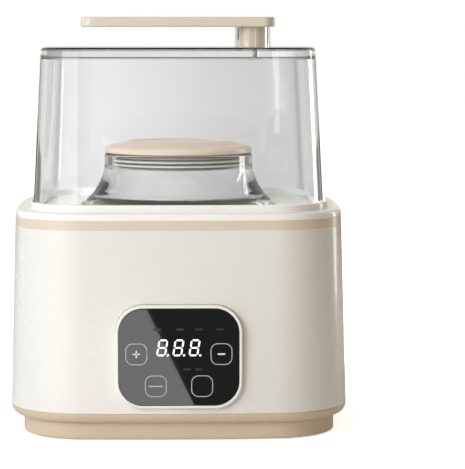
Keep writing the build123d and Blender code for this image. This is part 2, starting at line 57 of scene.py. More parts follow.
# Yogurt maker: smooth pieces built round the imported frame. The scene is in metres, X right, Y back, Z up.
# Sizes of the object are in millimetres, and MM turns them into metres.

MM = 0.001
SIDE_STEPS, CORNER_STEPS, ROUND_STEPS, FINE_STEPS = 14, 26, 6, 10
SPIN_STEPS, POST_STEPS, PAD_STEPS, BORE_STEPS, SCREW_STEPS, DOT_STEPS = 160, 96, 64, 48, 32, 20
SHARP = math.radians(32)

# Points closer than WELD metres are joined. ON_AXIS is the radius of a profile's ends at its axis.
WELD = 1e-7
ON_AXIS = 0.01

# Housing and rim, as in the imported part
FOOT_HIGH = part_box("bottom_cover")[1]
FOOT_HALF_W, FOOT_HALF_D = FOOT_HIGH.x / MM, FOOT_HIGH.y / MM
PLAN_RADIUS, PLAN_BOW = 46.0, 4.0
HOUSING_Z0, HOUSING_DRAFT = 16.6, 3.1
BAND_Z0, BAND_Z1 = 124.2, 129.8
SHOULDER_Z = 134.0
COLLAR_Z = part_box("upper_rim")[1].z / MM
COLLAR_IN, COLLAR_T = 8.0, 1.9
WALL = 2.6
SEAM_ROUND = 0.22
WELL_R = 59.8

# Touch panel and inlet
PANEL_LOW, PANEL_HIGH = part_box("touch_glass")
PANEL_Z = (PANEL_LOW.z + PANEL_HIGH.z) / 2 / MM
FRONT_Y = PANEL_LOW.y / MM
GLASS_HALF_W, GLASS_HALF_H = PANEL_HIGH.x / MM, (PANEL_HIGH.z - PANEL_LOW.z) / 2 / MM
GLASS_RADIUS, BEZEL_LIP, MARK_T = 14.5, 1.8, 0.05
INLET_LOW, INLET_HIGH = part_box("power_inlet")
INLET_Z = (INLET_LOW.z + INLET_HIGH.z) / 2 / MM

# Cover, handle and lid
COVER_LOW, COVER_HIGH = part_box("clear_cover")
COVER_TOP_Z, SLEEVE_Z1 = 230.1, COVER_HIGH.z / MM
POST_X = 45.7
HANDLE_Z0 = 242.2
LID_Z0 = 165.4
GASKET_RIBS = (158.3, 160.9)


# ---------------------------------------------------------------- outlines

def steps(start, end, count):
    return [start + (end - start) * i / count for i in range(count)]


def arc(centre, radius, start, end, count):
    x, y = centre
    return [(x + radius * math.cos(t), y + radius * math.sin(t)) for t in steps(start, end, count)]


def mirrored(quarter):
    """A whole outline from its first quarter, whose ends lie on the axes."""
    left = [(-x, y) for x, y in reversed(quarter[1:-1])]
    upper = quarter + left
    return upper + [(-x, -y) for x, y in upper[:1]] + [(x, -y) for x, y in reversed(upper[1:])]


def plan(inset, forward=0.0):
    """The housing seen from above, inset: a rounded rectangle with bowed sides, as (x, y) points."""
    a, b, r = FOOT_HALF_W - inset, FOOT_HALF_D - inset + forward, PLAN_RADIUS - inset
    side_r = ((b - PLAN_BOW) ** 2 + PLAN_BOW ** 2) / (2 * PLAN_BOW)
    front_r = ((a - PLAN_BOW) ** 2 + PLAN_BOW ** 2) / (2 * PLAN_BOW)
    side_centre, front_centre = Vector((a - side_r, 0.0)), Vector((0.0, b - front_r))
    # The corner's centre lies where it touches both the side's arc and the front's arc
    side_reach, front_reach = side_r - r, front_r - r
    gap = (front_centre - side_centre).length
    along = (side_reach ** 2 - front_reach ** 2 + gap ** 2) / (2 * gap)
    off = math.sqrt(side_reach ** 2 - along ** 2)
    unit = (front_centre - side_centre) / gap
    normal = Vector((-unit.y, unit.x))
    corner = max((side_centre + unit * along + normal * s * off for s in (-1, 1)), key=lambda c: c.x + c.y)
    turn_in = math.atan2(corner.y - side_centre.y, corner.x - side_centre.x)
    turn_out = math.atan2(corner.y - front_centre.y, corner.x - front_centre.x)
    quarter = arc(side_centre, side_r, 0, turn_in, SIDE_STEPS)
    quarter += arc(corner, r, turn_in, turn_out, CORNER_STEPS)
    quarter += arc(front_centre, front_r, turn_out, math.pi / 2, SIDE_STEPS)
    return mirrored(quarter + [(0.0, b)])


def rounded_rectangle(half_w, half_h, radius):
    """Gives the outline's points for an inset."""
    def outline(inset=0.0):
        a, b, r = half_w - inset, half_h - inset, max(radius - inset, 0.05)
        corner = arc((a - r, b - r), r, 0, math.pi / 2, CORNER_STEPS)
        return mirrored([(a, 0.0)] + corner + [(a - r, b), (0.0, b)])
    return outline


def circle_like(radius, outline):
    """Circle with one point in line with each point of another outline."""
    return [(radius * x / math.hypot(x, y), radius * y / math.hypot(x, y)) for x, y in outline]


def rounded(points, radii, count=ROUND_STEPS, closed=False):
    """Replaces the corners of a profile by arcs. radii maps a point's number to its arc's radius."""
    result = []
    for i, point in enumerate(points):
        here = Vector(point)
        radius = radii.get(i, 0)
        if not radius or (not closed and i in (0, len(points) - 1)):
            result.append(tuple(here))
            continue
        before = (Vector(points[i - 1]) - here).normalized()
        after = (Vector(points[(i + 1) % len(points)]) - here).normalized()
        half = before.angle(after) / 2
        centre = here + (before + after).normalized() * (radius / math.sin(half))
        first, last = here + before * (radius / math.tan(half)), here + after * (radius / math.tan(half))
        spoke = first - centre
        sweep = spoke.angle_signed(last - centre)
        result += [tuple(centre + Matrix.Rotation(-sweep * k / count, 2) @ spoke) for k in range(count + 1)]
    return result


def held(points, closed=False, margin=0.25, shortest=1.2):
    """Adds a point near each end of every long straight run, so that its shading stays flat."""
    result = []
    count = len(points)
    for i in range(count if closed else count - 1):
        start, end = Vector(points[i]), Vector(points[(i + 1) % count])
        result.append(tuple(start))
        length = (end - start).length
        if length > shortest:
            step = (end - start) * (margin / length)
            result += [tuple(start + step), tuple(end - step)]
    return result if closed else result + [tuple(points[-1])]


def curve(points, start, end, count=FINE_STEPS):
    """Smooth profile through points, with given directions at its ends."""
    points = [Vector(p) for p in points]
    spans = [(b - a).length for a, b in zip(points, points[1:])]
    slopes = [Vector(start).normalized()]
    for i in range(1, len(points) - 1):
        before = (points[i] - points[i - 1]) / spans[i - 1]
        after = (points[i + 1] - points[i]) / spans[i]
        slopes.append((before * spans[i] + after * spans[i - 1]) / (spans[i] + spans[i - 1]))
    slopes.append(Vector(end).normalized())
    result = []
    for i, span in enumerate(spans):
        for k in range(count):
            t = k / count
            arriving = 3 * t ** 2 - 2 * t ** 3
            point = points[i] * (1 - arriving) + points[i + 1] * arriving
            point += slopes[i] * span * (t ** 3 - 2 * t ** 2 + t) + slopes[i + 1] * span * (t ** 3 - t ** 2)
            result.append(tuple(point))
    return result + [tuple(points[-1])]


def corners(x, y):
    return [(sx * x, sy * y) for sx in (-1, 1) for sy in (-1, 1)]


# ---------------------------------------------------------------- meshes

def smooth(mesh):
    for face in mesh.polygons:
        face.use_smooth = True
    mesh.set_sharp_from_angle(angle=SHARP)


def finish_mesh(name, bm):
    bmesh.ops.remove_doubles(bm, verts=bm.verts, dist=WELD)
    bmesh.ops.recalc_face_normals(bm, faces=bm.faces)
    mesh = bpy.data.meshes.new(name)
    bm.to_mesh(mesh)
    bm.free()
    smooth(mesh)
    piece = bpy.data.objects.new(name, mesh)
    bpy.context.scene.collection.objects.link(piece)
    return piece


def bridge(bm, low, high):
    """Faces between two rings of as many points."""
    for i in range(len(low)):
        j = (i + 1) % len(low)
        bm.faces.new((low[i], low[j], high[j], high[i]))


def loft(name, rings, closed=False, place=None):
    """Solid through rings of (x, y, z) points: a closed loop of rings, or capped at both ends."""
    bm = bmesh.new()
    place = place or Matrix.Identity(4)
    rows = [[bm.verts.new(place @ (Vector(p) * MM)) for p in ring] for ring in rings]
    pairs = list(zip(rows, rows[1:]))
    if closed:
        pairs.append((rows[-1], rows[0]))
    else:
        bm.faces.new(list(reversed(rows[0])))
        bm.faces.new(rows[-1])
    for low, high in pairs:
        bridge(bm, low, high)
    return finish_mesh(name, bm)


def shell(name, profile, radii, outline=plan, closed=True, place=None):
    """Solid whose wall follows the outline. The profile is of (inset, height) points."""
    points = held(rounded(profile, radii, closed=closed), closed)
    rings = [[(x, y, z) for x, y in outline(inset)] for inset, z in points]
    return loft(name, rings, closed, place)


def spin(name, profile, radii, closed=True, place=None, count=SPIN_STEPS):
    """Solid of revolution about Z. The profile is of (radius, height) points."""
    points = held(rounded(profile, radii, closed=closed), closed)
    rings = [[(x, y, z) for x, y in arc((0, 0), max(radius, ON_AXIS), 0, 2 * math.pi, count)]
             for radius, z in points]
    return loft(name, rings, closed, place)


def upright(z):
    """Stands a shape that was drawn lying down in XY up at a height: what was up now faces the front."""
    return Matrix.Translation((0, 0, z * MM)) @ Matrix.Rotation(math.pi / 2, 4, "X")


def at(x, y=0.0):
    return Matrix.Translation((x * MM, y * MM, 0))


def rod(radius, z0, z1, x, y, count):
    return spin("rod", [(radius, z0), (radius, z1)], {}, closed=False, place=at(x, y), count=count)


def rod_along_y(radius, y0, y1, x, z):
    """Round bar from y0 back to y1."""
    profile = [(radius, -y1), (radius, -y0)]
    return spin("rod", profile, {}, closed=False, place=at(x) @ upright(z), count=BORE_STEPS)


def block_along_y(outline, y0, y1, z):
    """Solid of an outline that stands upright at a height and runs from y0 back to y1."""
    rings = [[(x, h, depth) for x, h in outline()] for depth in (-y1, -y0)]
    return loft("block", rings, place=upright(z))


def merge(pieces, name):
    """One object from several, without joining their surfaces."""
    bm = bmesh.new()
    for piece in pieces:
        bm.from_mesh(piece.data)
        bpy.data.objects.remove(piece)
    return finish_mesh(name, bm)


def cut(piece, tool, operation="DIFFERENCE"):
    """Cuts, or joins, a tool shape exactly, and takes the tool away."""
    modifier = piece.modifiers.new("cut", "BOOLEAN")
    modifier.object, modifier.operation, modifier.solver = tool, operation, "EXACT"
    bpy.context.view_layer.update()
    evaluated = piece.evaluated_get(bpy.context.evaluated_depsgraph_get())
    mesh = bpy.data.meshes.new_from_object(evaluated)
    piece.modifiers.clear()
    piece.data = mesh
    smooth(mesh)
    bpy.data.objects.remove(tool)


# ---------------------------------------------------------------- node trees

# Sockets of a colour mix node
FACTOR, FIRST, SECOND, MIXED = 0, 6, 7, 2
PATTERN_MIDDLE = (0.3, 0.7)


class Tree:
    """A node tree, with short calls for the nodes that the finishes and the world share."""

    def __init__(self, tree, place):
        self.tree = tree
        self.place = self.add("ShaderNodeTexCoord").outputs[place]

    def add(self, kind, **values):
        node = self.tree.nodes.new(kind)
        for key, value in values.items():
            setattr(node, key, value)
        return node

    def link(self, source, target):
        self.tree.links.new(source, target)

    def feed(self, source, target):
        """Links another node's output to a socket, or sets the socket to a number or a colour."""
        if isinstance(source, (int, float)):
            target.default_value = source
        elif isinstance(source, tuple):
            target.default_value = (*source, 1)
        else:
            self.link(source, target)

    def axis(self, letter):
        """One coordinate of the place."""
        split = self.add("ShaderNodeSeparateXYZ")
        self.link(self.place, split.inputs[0])
        return split.outputs[letter]

    def maths(self, operation, first, second=0.0):
        node = self.add("ShaderNodeMath", operation=operation)
        self.feed(first, node.inputs[0])
        self.feed(second, node.inputs[1])
        return node.outputs[0]

    def fit(self, source, from_low, from_high, to_low=0.0, to_high=1.0):
        """Maps one range onto another, and holds it at the ends."""
        node = self.add("ShaderNodeMapRange")
        ends = {"From Min": from_low, "From Max": from_high, "To Min": to_low, "To Max": to_high}
        for name, value in ends.items():
            node.inputs[name].default_value = value
        self.link(source, node.inputs["Value"])
        return node.outputs["Result"]

    def mixed(self, factor, first, second):
        node = self.add("ShaderNodeMix", data_type="RGBA")
        self.link(factor, node.inputs[FACTOR])
        self.feed(first, node.inputs[FIRST])
        self.feed(second, node.inputs[SECOND])
        return node.outputs[MIXED]

    def ray(self, kind):
        return self.add("ShaderNodeLightPath").outputs[kind]

    def by_ray(self, kind, others, chosen):
        """One shader for the rays of a kind, and another for all others."""
        mix = self.add("ShaderNodeMixShader")
        for socket, source in zip(mix.inputs, (self.ray(kind), others, chosen)):
            self.link(source, socket)
        return mix.outputs[0]


class Nodes(Tree):
    """A material's node tree."""

    def __init__(self, name):
        self.material = bpy.data.materials.new(name)
        self.material.use_nodes = True
        super().__init__(self.material.node_tree, "Object")
        self.shader = self.tree.nodes["Principled BSDF"]
        self.output = self.tree.nodes["Material Output"]

    def set(self, **values):
        for key, value in values.items():
            self.shader.inputs[key.replace("_", " ")].default_value = value

    def noise(self, scale, detail, stretch=None):
        node = self.add("ShaderNodeTexNoise")
        node.inputs["Scale"].default_value = scale
        node.inputs["Detail"].default_value = detail
        source = self.place
        if stretch:
            mapping = self.add("ShaderNodeMapping")
            mapping.inputs["Scale"].default_value = stretch
            self.link(source, mapping.inputs["Vector"])
            source = mapping.outputs["Vector"]
        self.link(source, node.inputs["Vector"])
        return node.outputs["Fac"]

    def spread(self, source, low, high):
        """Maps the middle of a pattern, where most of its values lie, onto a range."""
        return self.fit(source, *PATTERN_MIDDLE, low, high)

    def colours(self, source, first, second):
        """A colour that varies between two, by a pattern."""
        return self.mixed(self.spread(source, 0, 1), first, second)

    def base(self, source):
        self.link(source, self.shader.inputs["Base Color"])

    def roughness(self, source, low, high):
        self.link(self.spread(source, low, high), self.shader.inputs["Roughness"])

    def bump(self, source, strength, distance):
        """Relief of a height in millimetres."""
        node = self.add("ShaderNodeBump")
        node.inputs["Strength"].default_value = strength
        node.inputs["Distance"].default_value = distance * MM
        self.link(source, node.inputs["Height"])
        self.link(node.outputs["Normal"], self.shader.inputs["Normal"])


# ---------------------------------------------------------------- materials

def shade(colour, factor):
    return tuple(c * factor for c in colour)


def moulded(name, colour, roughness, coat, grain=900.0, depth=0.004, painted_shade_below=None):
    """Moulded plastic: faint colour drift, uneven gloss and a fine grain. The last argument, if given, paints
    shade low on the piece: the shade's colour and the heights between which it fades into the rest."""
    n = Nodes(name)
    n.set(IOR=1.49, Coat_Weight=coat, Coat_Roughness=0.12)
    base = n.colours(n.noise(400, 2), shade(colour, 0.997), shade(colour, 1.002))
    # Painted shade: below the first height the colour is the shade's, and by the second it has faded into the
    # rest
    if painted_shade_below:
        painted_shade_colour, z0, z1 = painted_shade_below
        base = n.mixed(n.fit(n.axis("Z"), z0 * MM, z1 * MM), painted_shade_colour, base)
    n.base(base)
    n.roughness(n.noise(500, 3), roughness - 0.006, roughness + 0.006)
    n.bump(n.noise(grain, 2), 0.06, depth)
    return n.material


def clear(name, colour, ior, ripple, lamps):
    """Polished glass or clear plastic, with the slight waviness of moulding. Rays from lamps pass straight
    through, tinted by a factor, so that what stands behind it is lit."""
    n = Nodes(name)
    n.set(IOR=ior, Transmission_Weight=1.0, Base_Color=(*colour, 1))
    n.roughness(n.noise(30, 2), 0.0, 0.012)
    n.bump(n.noise(28, 1.5), 0.25, ripple)
    straight = n.add("ShaderNodeBsdfTransparent")
    n.feed(shade(colour, lamps), straight.inputs["Color"])
    n.link(n.by_ray("Is Shadow Ray", n.shader.outputs[0], straight.outputs[0]), n.output.inputs["Surface"])
    return n.material


def metal(name, colour, roughness, stretch=(1, 1, 40)):
    """Drawn or turned metal with fine lines round or along it."""
    n = Nodes(name)
    n.set(Metallic=1.0)
    lines = n.noise(220, 3, stretch)
    n.base(n.colours(lines, shade(colour, 0.93), colour))
    n.roughness(lines, roughness - 0.06, roughness + 0.06)
    n.bump(lines, 0.1, 0.01)
    return n.material


def matt(name, colour, roughness, grain=600.0, depth=0.02):
    """Matt rubber, board or case with a light grain."""
    n = Nodes(name)
    n.set(IOR=1.45)
    n.base(n.colours(n.noise(40, 4), shade(colour, 0.85), shade(colour, 1.08)))
    n.roughness(n.noise(90, 3), roughness - 0.06, roughness + 0.06)
    n.bump(n.noise(grain, 3), 0.35, depth)
    return n.material


def ribbed(name, rib, groove, heights, half):
    """Pale silicone with painted shade in the grooves between its ribs, whose half height is given."""
    n = Nodes(name)
    n.set(IOR=1.41)
    z = n.axis("Z")
    away = [n.maths("ABSOLUTE", n.maths("SUBTRACT", z, height * MM)) for height in heights]
    nearest = away[0]
    for distance in away[1:]:
        nearest = n.maths("MINIMUM", nearest, distance)
    # Painted shade: away from the ribs the colour fades into the grooves' shade colour
    groove_shade_mask = n.fit(nearest, half * 0.7 * MM, half * 1.2 * MM)
    n.base(n.mixed(groove_shade_mask, n.colours(n.noise(300, 2), shade(rib, 0.96), rib), groove))
    n.roughness(n.noise(90, 3), 0.32, 0.42)
    n.bump(n.noise(500, 3), 0.3, 0.006)
    return n.material


def black_glass(name, darker, lighter):
    """Back-printed black glass: deep, flat and mirror smooth, with a trace of haze."""
    n = Nodes(name)
    n.set(IOR=1.52, Coat_Weight=0.35, Coat_Roughness=0.015)
    n.base(n.colours(n.noise(9, 2), darker, lighter))
    n.roughness(n.noise(25, 3), 0.02, 0.045)
    return n.material


def glowing(name, colour):
    """Lit segment behind glass, a little brighter in its middle."""
    n = Nodes(name)
    n.set(Roughness=0.3, Emission_Strength=1.0)
    n.link(n.colours(n.noise(900, 1), shade(colour, 0.93), colour), n.shader.inputs["Emission Color"])
    n.base(n.colours(n.noise(900, 1), shade(colour, 0.75), shade(colour, 0.8)))
    return n.material


def printed(name, colour):
    """Ink on the back of the glass."""
    n = Nodes(name)
    n.set(IOR=1.5)
    n.base(n.colours(n.noise(700, 2), shade(colour, 0.92), colour))
    n.roughness(n.noise(300, 2), 0.3, 0.4)
    return n.material


WHITE = (0.775, 0.742, 0.69)
CREAM = (0.91, 0.885, 0.84)
BEIGE = (0.69, 0.58, 0.455)
BEIGE_LIGHT = (0.615, 0.485, 0.345)
LID = (0.65, 0.52, 0.41)
HANDLE = (0.745, 0.655, 0.53)
# Painted shade for the handle's peg, as under the bar and inside the cover's sleeve
PEG_PAINTED_SHADE = (0.50, 0.40, 0.29)
# The first is the gasket's own colour, the second painted shade for its grooves
SILICONE, GROOVE_SHADE = (0.88, 0.87, 0.83), (0.17, 0.13, 0.10)

# What makes each slot's finish: the kind, then its values
KINDS = {
    "white_shell": (moulded, WHITE, 0.27, 0.35, 900, 0.001),
    "beige_trim": (moulded, BEIGE, 0.32, 0.25),
    "cream_rim": (moulded, CREAM, 0.25, 0.35, 900, 0.001),
    "beige_base": (moulded, BEIGE_LIGHT, 0.34, 0.2),
    "foot_rubber": (matt, (0.025, 0.025, 0.025), 0.75),
    "steel": (metal, (0.58, 0.58, 0.57), 0.32),
    "well_metal": (metal, (0.93, 0.925, 0.91), 0.5),
    "silicone": (matt, (0.75, 0.73, 0.68), 0.5),
    "plate_metal": (metal, (0.62, 0.62, 0.63), 0.42, (1, 1, 1)),
    "heater_block": (matt, (0.66, 0.60, 0.50), 0.7),
    "sensor_metal": (metal, (0.68, 0.68, 0.68), 0.3),
    "fuse_case": (matt, (0.68, 0.68, 0.62), 0.5),
    "foil": (metal, (0.72, 0.72, 0.73), 0.3, (1, 1, 3)),
    "lead_red": (matt, (0.40, 0.03, 0.02), 0.5),
    "bezel": (moulded, (0.86, 0.83, 0.78), 0.3, 0.2),
    "panel_glass": (black_glass, (0.006, 0.006, 0.0065), (0.0085, 0.0085, 0.009)),
    "display_black": (matt, (0.012, 0.012, 0.012), 0.5),
    "pcb": (matt, (0.01, 0.11, 0.035), 0.35, 1500, 0.03),
    "buzzer_black": (matt, (0.015, 0.015, 0.015), 0.4),
    "ribbon_grey": (matt, (0.35, 0.35, 0.36), 0.5),
    "transformer_yellow": (matt, (0.55, 0.38, 0.05), 0.4),
    "relay_blue": (matt, (0.02, 0.07, 0.26), 0.4),
    "capacitor_black": (matt, (0.015, 0.015, 0.025), 0.35),
    "inlet_black": (matt, (0.015, 0.015, 0.015), 0.45, 1200, 0.05),
    "pin_brass": (metal, (0.80, 0.66, 0.36), 0.25, (1, 40, 1)),
    "jar_glass": (clear, (0.985, 0.992, 0.988), 1.5, 0.010, 0.9),
    "beige_lid": (moulded, LID, 0.38, 0.15, 700, 0.008),
    # The gasket's grooves are painted in shade
    "gasket_silicone": (ribbed, SILICONE, GROOVE_SHADE, GASKET_RIBS, 0.85),
    "clear_plastic": (clear, (0.978, 0.980, 0.980), 1.49, 0.008, 1.3),
    # The handle's peg, below the bar's underside, is painted in shade
    "beige_handle": (moulded, HANDLE, 0.34, 0.2, 700, 0.006, (PEG_PAINTED_SHADE, HANDLE_Z0 - 1.2, HANDLE_Z0 + 0.2)),
}
FINISH = {slot: make(slot, *values) for slot, (make, *values) in KINDS.items()}
LIT = glowing("lit_digit", (1.0, 1.0, 0.97))
INK = printed("symbol_ink", (0.50, 0.50, 0.50))
BRIGHT_INK = printed("sign_ink", (0.88, 0.88, 0.88))
FAINT = printed("faint_ink", (0.009, 0.009, 0.010))


def place_piece(piece, body, slot_name, *nodes, material=None):
    """Gives a piece its finish and its body, and lets it stand for its CAD nodes."""
    piece.data.materials.clear()
    piece.data.materials.append(material or FINISH[slot_name])
    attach(piece, body)
    if nodes:
        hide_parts(*nodes)


# ---------------------------------------------------------------- base mouldings

def lean(z):
    """How far the housing's side has leaned in at a height."""
    return HOUSING_DRAFT * (z - HOUSING_Z0) / (BAND_Z0 - HOUSING_Z0)


def housing():
    """Side wall, open for the panel at the front and the inlet at the back."""
    foot_round, play = 0.5, 0.15
    front_cut, back_cut = (-100, -70), (73, 100)
    socket_half_w, socket_half_h, socket_round = 14.15, 6.65, 4.0
    profile = [(0, HOUSING_Z0), (lean(BAND_Z0), BAND_Z0), (lean(BAND_Z0) + WALL, BAND_Z0), (WALL, HOUSING_Z0)]
    piece = shell("housing_shell", profile, {0: foot_round, 1: SEAM_ROUND})
    around = BEZEL_LIP + play
    window = rounded_rectangle(GLASS_HALF_W + around, GLASS_HALF_H + around, GLASS_RADIUS + BEZEL_LIP)
    cut(piece, block_along_y(window, *front_cut, PANEL_Z))
    socket = rounded_rectangle(socket_half_w, socket_half_h, socket_round)
    cut(piece, block_along_y(socket, *back_cut, INLET_Z))
    place_piece(piece, "base", "white_shell", "outer_housing")


def trim():
    inner = lean(BAND_Z1) + WALL
    profile = [(lean(BAND_Z0), BAND_Z0), (lean(BAND_Z1), BAND_Z1), (inner, BAND_Z1), (inner, BAND_Z0)]
    piece = shell("trim_ring", profile, {0: SEAM_ROUND, 1: SEAM_ROUND})
    place_piece(piece, "base", "beige_trim", "trim_band")


def rim():
    """Shoulder, collar, deck and the lip round the jar's well, as one moulding."""
    side = lean(SHOULDER_Z)
    collar = side + COLLAR_IN
    deck_in, deck_z0, deck_edge = collar + COLLAR_T, SHOULDER_Z - 2.5, 3
    lip_z0, lip_t, lip_edge = 125.4, 2.6, 5
    profile = [(lean(BAND_Z1) + WALL, BAND_Z1), (lean(BAND_Z1), BAND_Z1), (side, SHOULDER_Z),
               (collar, SHOULDER_Z), (collar, COLLAR_Z), (deck_in, COLLAR_Z), (deck_in, SHOULDER_Z),
               (deck_in + deck_edge, SHOULDER_Z)]
    outer = held(rounded(profile, {1: SEAM_ROUND, 2: 2.2, 3: 0.5, 4: 0.8, 5: 0.7, 6: 0.6}))
    rings = [[(x, y, z) for x, y in plan(inset)] for inset, z in outer]
    lip = rounded([(WELL_R + lip_edge, SHOULDER_Z), (WELL_R, SHOULDER_Z), (WELL_R, lip_z0),
                   (WELL_R + lip_t, lip_z0), (WELL_R + lip_t, deck_z0)], {1: 1.1, 2: 0.4})
    guide = plan(deck_in + deck_edge)
    rings += [[(x, y, z) for x, y in circle_like(radius, guide)] for radius, z in lip]
    rings.append([(x, y, deck_z0) for x, y in plan(side + WALL)])
    place_piece(loft("deck_rim", rings, closed=True), "base", "cream_rim", "upper_rim")


def foot_cover():
    """Bottom moulding: rounded edge, foot ring set back below it, and a floor with air slots."""
    floor_z0, floor_z1 = 3.0, 5.5
    ring_z0, ring_z1, ring_in, ring_t, ring_forward = 0.8, 11.1, 7.4, 3.2, 2.9
    profile = [(ring_in + ring_t, floor_z0), (ring_in + ring_t, ring_z0), (ring_in, ring_z0),
               (ring_in, ring_z1), (0, ring_z1), (0, HOUSING_Z0), (WALL, HOUSING_Z0),
               (ring_in + WALL, ring_z1), (ring_in + WALL, floor_z1)]

    def outline(inset):
        return plan(inset, ring_forward * min(1.0, inset / ring_in))

    piece = shell("foot_cover", profile, {1: 0.8, 2: 1.4, 3: 0.35, 4: 5.3, 5: 0.4}, outline, closed=False)
    slot_half_w, slot_half_l, slot_pitch, slot_y, slot_z1 = 1.5, 12.0, 9, 36, 8
    slot_outline = rounded_rectangle(slot_half_w, slot_half_l, slot_half_w - 0.001)
    for column in range(-3, 4):
        for y in (-slot_y, slot_y):
            cut(piece, shell("slot", [(0, 0), (0, slot_z1)], {}, slot_outline, closed=False,
                             place=at(column * slot_pitch, y)))
    screw_x, screw_y, screw_r, screw_z0, screw_z1 = 80, 47, 1.7, 1, 8
    for x, y in corners(screw_x, screw_y):
        cut(piece, rod(screw_r, screw_z0, screw_z1, x, y, SCREW_STEPS))
    place_piece(piece, "base", "beige_base", "bottom_cover")


def feet():
    """Four rubber pads, each with a shallow dimple below."""
    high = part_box("rubber_feet")[1]
    radius, pad_z1, dimple, dimple_r, dimple_edge = 7.2, 3.0, 0.5, 2.6, 3.4
    profile = [(ON_AXIS, dimple), (dimple_r, dimple), (dimple_edge, 0), (radius, 0), (radius, pad_z1),
               (ON_AXIS, pad_z1)]
    pads = [spin("pad", profile, {3: 0.7}, closed=False, place=at(x, y), count=PAD_STEPS)
            for x, y in corners(high.x / MM - radius, high.y / MM - radius)]
    place_piece(merge(pads, "foot_pads"), "base", "foot_rubber", "rubber_feet")


# ---------------------------------------------------------------- touch panel

def bezel():
    """Frame round the panel, open where the glass lies in it."""
    front, flange, back, flange_out = -FRONT_Y, 81.0, 79.6, 2.5
    pocket, inner = front - 1.9, BEZEL_LIP - 0.05
    profile = [(-flange_out, back), (-flange_out, flange), (0, flange), (0, front), (inner, front),
               (inner, pocket), (BEZEL_LIP + flange_out, pocket), (BEZEL_LIP + flange_out, back)]
    outline = rounded_rectangle(GLASS_HALF_W + BEZEL_LIP, GLASS_HALF_H + BEZEL_LIP, GLASS_RADIUS + BEZEL_LIP)
    piece = shell("panel_frame", profile, {3: 0.7, 4: 0.2}, outline, place=upright(PANEL_Z))
    place_piece(piece, "base", "bezel", "panel_bezel")


def panel_glass():
    front, glass_t, edge = -FRONT_Y - MARK_T, 1.7, 6
    outline = rounded_rectangle(GLASS_HALF_W, GLASS_HALF_H, GLASS_RADIUS)
    profile = [(0, front - glass_t), (0, front), (edge, front)]
    piece = shell("panel_glass", profile, {1: 0.3}, outline, closed=False, place=upright(PANEL_Z))
    place_piece(piece, "base", "panel_glass", "touch_glass")


def mark_ring(bm, points, raised):
    """Points of a mark, on the glass or at the mark's raised face."""
    y = FRONT_Y if raised else FRONT_Y + MARK_T
    return [bm.verts.new((x * MM, y * MM, z * MM)) for x, z in points]


def slab(name, outlines, material):
    """Flat marks on the glass from closed outlines of (x, z) points."""
    bm = bmesh.new()
    for points in outlines:
        back, front = mark_ring(bm, points, False), mark_ring(bm, points, True)
        bm.faces.new(back)
        bm.faces.new(list(reversed(front)))
        bridge(bm, back, front)
    place_piece(finish_mesh(name, bm), "base", "panel_glass", material=material)


def ring_mark(name, cx, cz):
    """Rounded-square outline of a touch symbol, as one closed strip."""
    half, radius, line = 6.35, 4.3, 0.48
    outer, inner = [[(cx + x, cz + z) for x, z in rounded_rectangle(half, half, radius)(inset)]
                    for inset in (0, line)]
    bm = bmesh.new()
    rings = [mark_ring(bm, outer, False), mark_ring(bm, outer, True), mark_ring(bm, inner, True),
             mark_ring(bm, inner, False)]
    for low, high in zip(rings, rings[1:] + rings[:1]):
        bridge(bm, low, high)
    place_piece(finish_mesh(name, bm), "base", "panel_glass", material=INK)


def segment(x0, z0, x1, z1, half):
    """One bar of a seven-segment digit, pointed at both ends."""
    start, end = Vector((x0, z0)), Vector((x1, z1))
    along = (end - start).normalized() * half
    across = Vector((-along.y, along.x))
    return [start, start + along + across, end - along + across, end, end - along - across,
            start + along - across]


def digit_outlines(cx, cz):
    """The seven segments of a lit 8 and its point, leaning to the right."""
    width, height, half, slant, gap, dot_r, dot_away = 5.6, 9.8, 0.47, 0.17, 0.36, 0.62, 1.75
    a, b = width / 2 - half, height / 2 - half
    bars = [(-a + gap, z, a - gap, z) for z in (b, 0, -b)]
    bars += [(x, z + gap, x, z + b - gap) for x in (-a, a) for z in (0, -b)]
    shapes = [segment(*bar, half) for bar in bars]
    shapes.append([Vector(p) for p in arc((a + dot_away, -b), dot_r, 0, 2 * math.pi, DOT_STEPS)])
    return [[(cx + p.x + p.y * slant, cz + p.y) for p in shape] for shape in shapes]


def bar_mark(cx, cz, half_w, half_h):
    outline = rounded_rectangle(half_w, half_h, min(half_w, half_h) * 0.98)()
    return [(cx + x, cz + z) for x, z in outline]


def panel_marks():
    """Three digits, four touch symbols and six unlit marks."""
    pitch, digit_x, digit_z = 9.4, -0.3, PANEL_Z + 5.55
    for k, name in enumerate(("digit_left", "digit_middle", "digit_right"), -1):
        slab(name, digit_outlines(k * pitch + digit_x, digit_z), LIT)
    upper_x, upper_z = 24.8, PANEL_Z + 1.8
    lower_x, lower_z = 13.5, PANEL_Z - 17.05
    places = {"plus": (-upper_x, upper_z), "minus": (upper_x, upper_z), "function": (-lower_x, lower_z),
              "start": (lower_x, lower_z)}
    for name, (x, z) in places.items():
        ring_mark("ring_" + name, x, z)
    thin, thick, arm, long_arm = 0.36, 0.46, 2.2, 4.3
    plus = [bar_mark(*places["plus"], arm, thin), bar_mark(*places["plus"], thin, arm)]
    slab("sign_plus", plus, BRIGHT_INK)
    slab("sign_minus", [bar_mark(*places["minus"], arm, thick)], BRIGHT_INK)
    slab("sign_function", [bar_mark(*places["function"], long_arm, thin)], INK)
    faint_half_w, faint_half_h = 2.3, 0.7
    rows = ((16.3, (-12.5, 0.5, 11.5, 24.0)), (-7.1, (4.8, 11.5)))
    faint = [bar_mark(x, PANEL_Z + z, faint_half_w, faint_half_h) for z, row in rows for x in row]
    slab("faint_marks", faint, FAINT)


# ---------------------------------------------------------------- well, jar and lid

